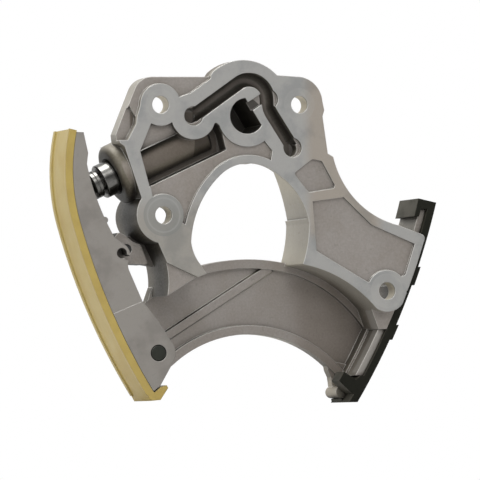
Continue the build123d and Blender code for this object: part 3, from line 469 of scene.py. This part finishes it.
@dataclass(frozen=True)
class CastAluminium:
    """Die-cast aluminium whose front faces are milled."""

    name: str
    skin: Colour
    skin_warm: Colour
    # The side walls' tone is lighter and warmer than the skin's as painted light; the next colour is their
    # painted shade where other parts close them in
    wall: Colour
    wall_shaded: Colour
    land: Colour
    land_stain: Colour
    # The dark colour serves as painted shade in hollows and as the colour of real dark specks
    shade_and_speck: Colour
    # The pale colour is a painted highlight on free edges and also tints pale grains
    edge: Colour
    metallic: float = 0.35
    skin_rough: float = 0.52
    land_rough: float = 0.40

    # The depth of the milled land, and the directions that count as front and as back
    land_depth: float = 0.00006
    front_faces: Span = (0.90, 0.98)
    back_faces: Span = (0.20, 0.50)

    # Patches and grain, with how far they show in the colour, the height and the roughness
    clouds: Mottle = Mottle(0.022, 0.35, 0.68)
    cloud_height: float = 0.15
    specks: Mottle = Mottle(0.0022, 0.60, 0.74, 2.0, 0.7)
    skin_specks: float = 0.16
    land_specks: float = 0.08
    stains: Mottle = Mottle(0.016, 0.46, 0.66, 5.0, 0.6)
    grain: float = 0.0008
    grain_depth: float = 0.000022
    milled_off: float = 0.85
    glints: Span = (0.35, 0.70)
    glint_strength: float = 0.06
    pores: Span = (0.40, 0.62)
    pore_strength: float = 0.10
    wear: float = 0.004
    wear_rough: float = 0.14

    # Painted shade deep between the walls and in small hollows
    wall_reach: float = 0.030
    wall_shading: Span = (0.30, 0.62)
    hollow_reach: float = 0.007
    hollow_shading: Span = (0.34, 0.88)
    hollow_strength: float = 0.92

    # Painted highlights on edges, where they stand free and brightest where they look to the light
    round_edge: float = 0.0006
    highlight_openness: Span = (0.50, 0.72)
    light_from: Point = (-0.45, -0.35, 0.82)
    lit_faces: Span = (0.15, 0.75)
    edge_lit: float = 0.95
    edge_unlit: float = 0.20
    edge_shine: float = 1.0
    edge_smooth: float = 0.06

    # Places with a colour of their own: real stains and washer rings on the land, mostly painted shade and
    # painted light in the other spots and the bores
    land_spots: tuple[Spot, ...] = ()
    deep_spots: tuple[Spot, ...] = ()
    wall_spots: tuple[Spot, ...] = ()
    washers: tuple[Washer, ...] = ()
    bores: tuple[Bore, ...] = ()

    def material(self) -> bpy.types.Material:
        """Makes cast skin, milled land, painted shade in hollows and painted highlights on edges.

        Returns:
            The material.
        """
        g = Graph(bpy.data.materials.new(self.name))
        where = g.place()
        normal = g.rounded(self.round_edge)
        edge = g.edges(normal)
        front = (-g.part(g.facing(), "Y")).rise(*self.front_faces)
        land = g.part(where, "Y").fall(self.land_depth, self.land_depth * 2) * front
        clouds = self.clouds.mask(g, where)
        specks = self.specks.mask(g, where)
        grain = g.noise(where, self.grain, 3.0, 0.7)

        skin = self._skin(g, where, front, clouds, specks, grain)
        colour = g.blend(land, skin, self._land(g, where, specks, grain))
        # Painted shade: small hollows darken towards the dark colour
        hidden = 1 - g.openness(self.hollow_reach)
        colour = g.blend(hidden.rise(*self.hollow_shading) * self.hollow_strength, colour, self.shade_and_speck)
        # Painted light on the bolt holes' walls, painted shade in the gallery
        for bore in self.bores:
            colour = g.blend(bore.mask(g, where), colour, bore.shade)
        # Painted highlight on free edges, brightest where they look to the light
        edge_highlight = edge * hidden.fall(*self.highlight_openness)
        lit = g.vectors("DOT_PRODUCT", normal, self.light_from, out="Value").rise(*self.lit_faces)
        glow = lit * (self.edge_lit - self.edge_unlit) + self.edge_unlit
        colour = g.blend(edge_highlight * glow * self.edge_shine, colour, self.edge)

        wear = g.noise(where, self.wear) * self.wear_rough - self.wear_rough / 2
        rough = land * (self.land_rough - self.skin_rough) + self.skin_rough + wear
        height = grain * (1 - land * self.milled_off) + clouds * self.cloud_height
        return g.finish({
            "Base Color": colour,
            "Metallic": self.metallic,
            "Roughness": rough - edge_highlight * self.edge_smooth,
            "Normal": g.bump(height, self.grain_depth, normal),
        })

    def _skin(
        self, g: Graph, where: Signal, front: Signal, clouds: Signal, specks: Signal, grain: Signal
    ) -> Signal:
        """Mixes the colour of what stayed as cast, with painted light and painted shade on the side walls
        and in the spots.

        Args:
            g: The graph.
            where: The point on the piece.
            front: 1 on faces that look to the front.
            clouds: The warmer patches.
            specks: The dark specks.
            grain: The fine grain.

        Returns:
            The colour.
        """
        skin = g.blend(clouds, self.skin, self.skin_warm)
        # Painted shade on walls that other parts close in, such as the arm
        shut = (1 - g.openness(self.wall_reach)).rise(*self.wall_shading)
        wall = g.blend(shut, self.wall, self.wall_shaded)
        not_back = g.part(g.facing(), "Y").fall(*self.back_faces)
        # Painted shade and painted light on the walls
        for spot in self.wall_spots:
            wall = g.blend(spot.mask(g, where) * not_back, wall, spot.shade, spot.mode)
        # Side walls get their own lighter tone as painted light, faces that look to the front get the skin
        skin = g.blend(front, wall, skin)
        skin = g.blend(specks * self.skin_specks, skin, self.shade_and_speck)
        skin = g.blend(grain.rise(*self.glints) * self.glint_strength, skin, self.edge)
        # Mostly painted shade on the deeper faces
        for spot in self.deep_spots:
            skin = g.blend(spot.mask(g, where) * not_back, skin, spot.shade, spot.mode)
        return skin

    def _land(self, g: Graph, where: Signal, specks: Signal, grain: Signal) -> Signal:
        """Mixes the colour of the milled face.

        Args:
            g: The graph.
            where: The point on the piece.
            specks: The dark specks.
            grain: The fine grain.

        Returns:
            The colour.
        """
        face = g.blend(self.stains.mask(g, where), self.land, self.land_stain)
        face = g.blend(specks * self.land_specks, face, self.shade_and_speck)
        face = g.blend(grain.fall(*self.pores) * self.pore_strength, face, self.skin)
        for spot in self.land_spots:
            face = g.blend(spot.mask(g, where), face, spot.shade, spot.mode)
        for washer in self.washers:
            face = g.blend(washer.mask(g, where), face, washer.shade)
        return face


@dataclass(frozen=True)
class TurnedSteel:
    """Turned and ground steel with fine rings round its axis."""

    name: str
    colour: Colour
    shade: Colour
    axis: Point
    # bands: painted reflection, grey levels by how far the surface looks up
    bands: tuple[Stop, ...] = ((0.0, 1.0), (1.0, 1.0))
    rough: float = 0.24
    ring: float = 0.00022
    ring_rough: float = 0.16
    ring_depth: float = 0.000004
    smear: float = 0.003
    smear_rough: float = 0.10
    smeared: Span = (0.35, 0.75)
    smear_strength: float = 0.5
    # Painted shade in corners
    corner_shade_reach: float = 0.003
    corner_shade_span: Span = (0.40, 0.95)
    corner_shade: float = 0.8
    edge: Colour = (0.60, 0.59, 0.57)
    edge_shine: float = 0.3
    round_edge: float = 0.00025

    def material(self) -> bpy.types.Material:
        """Makes turned rings, smears of oil, painted shade in corners and bands of painted reflection, dark
        and light.

        Returns:
            The material.
        """
        g = Graph(bpy.data.materials.new(self.name))
        where = g.place()
        normal = g.rounded(self.round_edge)
        along = g.vectors("DOT_PRODUCT", where, self.axis, out="Value")
        sockets = {"W": along, "Scale": 1 / self.ring, "Detail": 2.0}
        rings = g.node("ShaderNodeTexNoise", {"noise_dimensions": "1D"}, sockets)
        smears = g.noise(where, self.smear, 4.0)
        hidden = 1 - g.openness(self.corner_shade_reach)
        # Painted reflection: dark and light bands by how far the surface looks up
        height = g.part(normal, "Z") * 0.5 + 0.5
        reflection_bands = g.node("ShaderNodeValToRGB", {"stops": self.bands}, {0: height})

        colour = g.blend(smears.rise(*self.smeared) * self.smear_strength, self.colour, self.shade)
        colour = g.blend(1.0, colour, reflection_bands, Mode.MULTIPLY)
        # Painted shade in corners
        colour = g.blend(hidden.rise(*self.corner_shade_span) * self.corner_shade, colour, self.shade)
        colour = g.blend(g.edges(normal) * self.edge_shine, colour, self.edge)
        least_rough = self.rough - (self.ring_rough + self.smear_rough) / 2
        return g.finish({
            "Base Color": colour,
            "Metallic": 1.0,
            "Roughness": rings * self.ring_rough + smears * self.smear_rough + least_rough,
            "Normal": g.bump(rings, self.ring_depth, normal),
        })


@dataclass(frozen=True)
class MouldedPlastic:
    """Injection-moulded plastic with a matt skin."""

    name: str
    colour: Colour
    side: Colour
    shade: Colour
    edge: Colour
    rough: float = 0.45
    shine: float = 0.5
    left_faces: Span = (0.3, 0.7)
    tracks: tuple[Span, ...] = ()
    track_soft: float = 0.0006
    track_strength: float = 0.45
    clouds: Mottle = Mottle(0.012, 0.35, 0.70)
    cloud_strength: float = 0.5
    cloud_rough: float = 0.08
    cloud_height: float = 0.4
    scuffs: Mottle = Mottle(0.0015, 0.62, 0.72, 4.0, 0.7)
    scuff_strength: float = 0.12
    grain: float = 0.0006
    grain_rough: float = 0.12
    grain_depth: float = 0.00002
    # Painted shade in corners
    corner_shade_reach: float = 0.004
    corner_shade_span: Span = (0.40, 0.95)
    corner_shade: float = 0.7
    round_edge: float = 0.0006
    edge_strength: float = 0.45

    def material(self) -> bpy.types.Material:
        """Makes soft clouds, painted shade in corners and paler edges.

        Returns:
            The material.
        """
        g = Graph(bpy.data.materials.new(self.name))
        where = g.place()
        normal = g.rounded(self.round_edge)
        clouds = self.clouds.mask(g, where)
        grain = g.noise(where, self.grain, 2.0)
        hidden = 1 - g.openness(self.corner_shade_reach)
        leftward = (-g.part(g.facing(), "X")).rise(*self.left_faces)

        side = self.side
        for start, end in self.tracks:
            track = g.part(where, "Y").within(start, end, self.track_soft)
            side = g.blend(track * self.track_strength, side, self.shade)
        colour = g.blend(leftward, self.colour, side)
        colour = g.blend(clouds * self.cloud_strength, colour, self.shade)
        # Painted shade in corners
        colour = g.blend(hidden.rise(*self.corner_shade_span) * self.corner_shade, colour, self.shade)
        pale = g.edges(normal) * self.edge_strength + self.scuffs.mask(g, where) * self.scuff_strength
        colour = g.blend(pale, colour, self.edge)
        least_rough = self.rough - (self.grain_rough + self.cloud_rough) / 2
        return g.finish({
            "Base Color": colour,
            "Roughness": grain * self.grain_rough + clouds * self.cloud_rough + least_rough,
            "Specular IOR Level": self.shine,
            "Normal": g.bump(grain + clouds * self.cloud_height, self.grain_depth, normal),
        })


def dress(node: bpy.types.Object, material: bpy.types.Material) -> None:
    """Gives a CAD node one finish.

    Args:
        node: The node's object.
        material: The finish.
    """
    node.data.materials.clear()
    node.data.materials.append(material)
    LOG.info("%s wears %s", node.name, material.name)


@dataclass
class Bracket:
    """The cast housing with its guide rail and the pin of the arm."""

    nodes: dict[str, bpy.types.Object]
    casting: CastAluminium = CastAluminium(
        "cast_aluminium",
        skin=(0.288, 0.262, 0.240),
        skin_warm=(0.252, 0.224, 0.198),
        # side walls: painted light, then painted shade where closed in
        wall=(0.310, 0.288, 0.245),
        wall_shaded=(0.095, 0.088, 0.072),
        land=(0.365, 0.360, 0.346),
        land_stain=(0.290, 0.294, 0.288),
        # dark colour for painted shade in hollows and for the dark specks
        shade_and_speck=(0.040, 0.035, 0.029),
        # pale colour for painted edge highlights and pale grains
        edge=(0.86, 0.84, 0.79),
        land_spots=(
            # right border
            Spot((0.96, 0.86, 0.76), (0.0475, 0.0, -0.010), (0.012, 0.001, 0.040), 0.006, 0.9),
            # neck at the lower left
            Spot((0.86, 0.82, 0.76), (-0.014, 0.0, -0.066), (0.030, 0.001, 0.020), 0.012, 0.9),
        ),
        deep_spots=(
            # barrel in its pocket, painted shade
            Spot((0.46, 0.415, 0.36), (-0.022, 0.0065, -0.019), (0.0185, 0.003, 0.016), 0.0008, 0.9),
            # corner below the lower right bolt
            Spot((0.38, 0.36, 0.33), (0.062, 0.010, -0.095), (0.010, 0.003, 0.012), 0.0008, 0.8, Mode.MIX),
            # foot
            Spot((0.44, 0.41, 0.34), (0.050, 0.016, -0.115), (0.005, 0.008, 0.004), 0.002, 0.9, Mode.MIX),
            # right end of the web, painted shade
            Spot((0.70, 0.66, 0.62), (0.056, 0.024, -0.095), (0.016, 0.003, 0.022), 0.012, 0.8),
            # floor of the oil channel, darker as painted shade and partly oil staining
            Spot((0.42, 0.39, 0.36), (0.0065, 0.0052, -0.001), (0.020, 0.002, 0.022), 0.0006, 0.95),
            # mouth boss of the bore, upper and lower part, painted shade
            Spot((0.80, 0.775, 0.72), (-0.0480, 0.008, -0.024), (0.005, 0.0078, 0.0090), 0.003, 0.9),
            Spot((0.72, 0.70, 0.65), (-0.0425, 0.008, -0.037), (0.006, 0.0078, 0.0075), 0.003, 0.9),
        ),
        wall_spots=(
            # side of the mouth boss, painted shade
            Spot((0.55, 0.54, 0.50), (-0.044, 0.0135, -0.030), (0.0075, 0.014, 0.014), 0.003),
            # bulge round the lower left bolt, painted shade
            Spot((0.43, 0.40, 0.345), (-0.038, 0.0135, -0.046), (0.016, 0.014, 0.012), 0.005),
            # left leg behind the lug, painted shade
            Spot((0.42, 0.39, 0.325), (-0.028, 0.015, -0.070), (0.016, 0.013, 0.016), 0.005),
            # right wall of the shaft opening, painted light: lighter and warmer
            Spot((0.43, 0.395, 0.315), (0.022, 0.015, -0.045), (0.007, 0.013, 0.026), 0.004, 0.85, Mode.MIX),
            # outer wall at the upper left, painted light: lighter
            Spot((0.36, 0.34, 0.30), (-0.050, 0.015, -0.004), (0.008, 0.013, 0.012), 0.004, 0.7, Mode.MIX),
            # side of the foot
            Spot((0.44, 0.41, 0.34), (0.050, 0.021, -0.115), (0.005, 0.008, 0.004), 0.002, 0.9, Mode.MIX),
        ),
        washers=(
            Washer(LOWER_LEFT_BOLT, 0.0036, 0.0082, (0.215, 0.220, 0.210), 0.62),
            Washer(LOWER_LEFT_BOLT, 0.0066, 0.0069, (0.36, 0.36, 0.34), 0.4),
            Washer(UPPER_LEFT_BOLT, 0.0036, 0.0060, (0.42, 0.41, 0.385), 0.22),
            Washer(UPPER_RIGHT_BOLT, 0.0036, 0.0064, (0.40, 0.39, 0.37), 0.2),
            Washer(LOWER_RIGHT_BOLT, 0.0036, 0.0068, (0.42, 0.41, 0.385), 0.3),
        ),
        bores=(
            # bolt holes: painted light on their walls; gallery: painted shade
            *(Bore(bolt, BOLT_HOLE_RADIUS, BOLT_HOLE_DEPTH, (0.62, 0.57, 0.46)) for bolt in BOLTS),
            Bore(GALLERY, radius=0.0073, depth=0.0200, shade=(0.050, 0.044, 0.036), strength=0.9),
        ),
    )
    rail: MouldedPlastic = MouldedPlastic(
        "rail_plastic",
        colour=(0.010, 0.010, 0.006),
        side=(0.074, 0.069, 0.054),
        shade=(0.007, 0.007, 0.004),
        edge=(0.050, 0.048, 0.040),
        rough=0.60,
        shine=0.15,
    )
    pin: TurnedSteel = TurnedSteel(
        "pin_steel",
        colour=(0.038, 0.040, 0.034),
        shade=(0.022, 0.023, 0.020),
        axis=INTO_CASTING,
        rough=0.34,
    )

    def build(self) -> None:
        """Dresses the pieces that stand still."""
        dress(self.nodes["housing"], self.casting.material())
        dress(self.nodes["guide_rail"], self.rail.material())
        dress(self.nodes["pivot_pin"], self.pin.material())


@dataclass
class LeverArm:
    """The swinging arm and the plastic lining that the chain runs on."""

    nodes: dict[str, bpy.types.Object]
    casting: CastAluminium = CastAluminium(
        "arm_aluminium",
        skin=(0.230, 0.218, 0.200),
        skin_warm=(0.200, 0.186, 0.168),
        # side walls: painted light, then painted shade where closed in
        wall=(0.300, 0.285, 0.255),
        wall_shaded=(0.200, 0.190, 0.170),
        land=(0.275, 0.256, 0.232),
        land_stain=(0.222, 0.205, 0.186),
        # dark colour for painted shade in hollows and for the dark specks
        shade_and_speck=(0.055, 0.048, 0.040),
        # pale colour for painted edge highlights and pale grains
        edge=(0.60, 0.59, 0.56),
        edge_shine=0.45,
        land_depth=0.00335,
        round_edge=0.0005,
    )
    lining: MouldedPlastic = MouldedPlastic(
        "lining_plastic",
        colour=(0.500, 0.370, 0.098),
        side=(0.400, 0.305, 0.090),
        shade=(0.360, 0.250, 0.062),
        edge=(0.55, 0.46, 0.18),
        rough=0.42,
        # strength of painted shade in corners
        corner_shade=0.4,
        tracks=((0.0030, 0.0034), (0.0168, 0.0184)),
    )

    def build(self) -> None:
        """Dresses the arm and its lining."""
        dress(self.nodes["tensioner_arm"], self.casting.material())
        dress(self.nodes["arm_lining"], self.lining.material())


@dataclass
class Plunger:
    """The piston with what lies behind it in the bore."""

    nodes: dict[str, bpy.types.Object]
    steel: TurnedSteel = TurnedSteel(
        "piston_steel",
        colour=(0.50, 0.49, 0.46),
        shade=(0.06, 0.056, 0.048),
        axis=OUT_OF_BORE,
        # painted reflection bands: grey levels by how far the surface looks up
        bands=(
            (0.0, 0.26),
            (0.28, 0.30),
            (0.42, 0.34),
            (0.57, 0.13),
            (0.70, 0.38),
            (0.80, 0.58),
            (1.0, 0.28),
        ),
        rough=0.22,
    )
    spring: TurnedSteel = TurnedSteel(
        "spring_steel", colour=(0.38, 0.37, 0.35), shade=(0.14, 0.13, 0.12), axis=OUT_OF_BORE, rough=0.3
    )
    valve: TurnedSteel = TurnedSteel(
        "valve_steel", colour=(0.66, 0.66, 0.65), shade=(0.28, 0.28, 0.27), axis=OUT_OF_BORE, rough=0.18
    )
    guide: MouldedPlastic = MouldedPlastic(
        "guide_plastic",
        colour=(0.55, 0.52, 0.44),
        side=(0.55, 0.52, 0.44),
        shade=(0.36, 0.33, 0.26),
        edge=(0.7, 0.68, 0.6),
    )

    def build(self) -> None:
        """Dresses the piston, its springs and the check valve."""
        dress(self.nodes["piston"], self.steel.material())
        dress(self.nodes["spring_guide"], self.guide.material())
        wire = self.spring.material()
        for name in ("piston_spring", "check_ball_spring"):
            dress(self.nodes[name], wire)
        hard = self.valve.material()
        for name in ("check_valve_seat", "check_ball", "check_ball_cage"):
            dress(self.nodes[name], hard)


@dataclass(frozen=True)
class Lamp:
    """A soft lamp, a square panel that faces the object."""

    name: str
    at: Point
    size: float
    watts: float

    def build(self, looks_at: Point) -> None:
        """Hangs the lamp.

        Args:
            looks_at: The point that it faces.
        """
        data = bpy.data.lights.new(self.name, "AREA")
        data.size = self.size
        data.energy = self.watts
        lamp = bpy.data.objects.new(self.name, data)
        toward = Vector(looks_at) - Vector(self.at)
        lamp.location = self.at
        lamp.rotation_euler = toward.to_track_quat("-Z", "Y").to_euler()
        bpy.context.scene.collection.objects.link(lamp)
        LOG.info("%s gives %.1f W", self.name, self.watts)


@dataclass
class Studio:
    """The camera, the lamps, the pale surroundings and the floor."""

    camera_at: Point = (-0.66712, -1.87189, -0.12178)
    looks_at: Point = (0.00644, 0.01004, -0.05361)
    roll: float = math.radians(1.25)
    lens: float = 375.0
    sensor: float = 36.0
    near: float = 0.1
    far: float = 20.0
    lamps: tuple[Lamp, ...] = (
        Lamp("key_lamp", (-0.35, -1.25, 0.85), 0.9, 7.4),
        Lamp("top_lamp", (-0.20, 0.05, 1.05), 0.7, 9.0),
        Lamp("side_lamp", (-1.15, 0.45, 0.20), 0.6, 4.6),
    )
    light_above: float = 0.34
    light_below: float = 0.08
    light_turn: float = 0.6
    floor_half: float = 1.1
    floor_y: float = 0.013
    floor_grey: float = 0.86
    floor_fade: Span = (0.16, 0.5)

    def build(self, floor_z: float) -> None:
        """Sets up everything round the object.

        Args:
            floor_z: The height that the object stands at.
        """
        bpy.context.scene.view_settings.view_transform = "Standard"
        self._camera()
        self._world()
        for lamp in self.lamps:
            lamp.build(self.looks_at)
        self._floor(floor_z)

    def _camera(self) -> None:
        """Makes the camera of the photograph's view."""
        forward = (Vector(self.looks_at) - Vector(self.camera_at)).normalized()
        level = forward.cross(Vector((0.0, 0.0, 1.0))).normalized()
        upright = level.cross(forward)
        right = level * math.cos(self.roll) - upright * math.sin(self.roll)
        up = level * math.sin(self.roll) + upright * math.cos(self.roll)
        turn = Matrix((right, up, -forward)).transposed().to_4x4()
        data = bpy.data.cameras.new("photo_camera")
        data.lens = self.lens
        data.sensor_width = self.sensor
        data.clip_start, data.clip_end = self.near, self.far
        camera = bpy.data.objects.new("photo_camera", data)
        camera.matrix_world = Matrix.Translation(self.camera_at) @ turn
        bpy.context.scene.collection.objects.link(camera)
        bpy.context.scene.camera = camera

    def _world(self) -> None:
        """Makes white surroundings that light the object evenly and softly."""
        world = bpy.data.worlds.new("white_surroundings")
        bpy.context.scene.world = world
        g = Graph(world)
        seen = g.ray("Camera").larger(g.ray("Glossy")).larger(g.ray("Transmission"))
        height = g.part(g.node("ShaderNodeTexCoord", out="Generated"), "Z")
        above = height.rise(-self.light_turn, self.light_turn)
        light = above * (self.light_above - self.light_below) + self.light_below
        strength = seen * (1 - light) + light
        background = g.node("ShaderNodeBackground", sockets={"Color": WHITE, "Strength": strength})
        g.node("ShaderNodeOutputWorld", sockets={"Surface": background}, out=None)

    def _floor_material(self) -> bpy.types.Material:
        """Makes a pale grey that fades to white for the camera and is clear from below.

        Returns:
            The material.
        """
        g = Graph(bpy.data.materials.new("pale_floor"))
        reach = g.vectors("LENGTH", g.place(), out="Value")
        grey = (self.floor_grey, self.floor_grey, self.floor_grey)
        pale = g.node("ShaderNodeBsdfDiffuse", sockets={"Color": grey})
        white = g.node("ShaderNodeEmission", sockets={"Color": WHITE, "Strength": 1.0})
        clear = g.node("ShaderNodeBsdfTransparent")
        fade = reach.rise(*self.floor_fade) * g.ray("Camera")
        faded = g.node("ShaderNodeMixShader", sockets={0: fade, 1: pale, 2: white})
        below = g.node("ShaderNodeNewGeometry", out="Backfacing")
        surface = g.node("ShaderNodeMixShader", sockets={0: below, 1: faded, 2: clear})
        g.node("ShaderNodeOutputMaterial", sockets={"Surface": surface}, out=None)
        return g.owner

    def _floor(self, floor_z: float) -> None:
        """Lays a pale floor that fades into the white surroundings.

        Args:
            floor_z: Its height.
        """
        half = self.floor_half
        corners = [(-half, -half, 0), (half, -half, 0), (half, half, 0), (-half, half, 0)]
        mesh = bpy.data.meshes.new("floor")
        mesh.from_pydata(corners, [], [(0, 1, 2, 3)])
        mesh.materials.append(self._floor_material())
        floor = bpy.data.objects.new("floor", mesh)
        floor.location = (self.looks_at[0], self.floor_y, floor_z)
        bpy.context.scene.collection.objects.link(floor)
        floor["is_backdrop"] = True
        LOG.info("floor lies at z %.4f", floor_z)


def main() -> None:
    """Builds the sub-assemblies and the studio, and stands the floor at the bottom of the model's box."""
    logging.basicConfig(level=logging.INFO, format="%(name)s: %(message)s")
    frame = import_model()
    cad_box = [list(corner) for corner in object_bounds()]
    nodes = frame["nodes"]
    for assembly in (Bracket(nodes), LeverArm(nodes), Plunger(nodes)):
        assembly.build()
    Studio().build(cad_box[0][2])


if __name__ == "__main__":
    main()
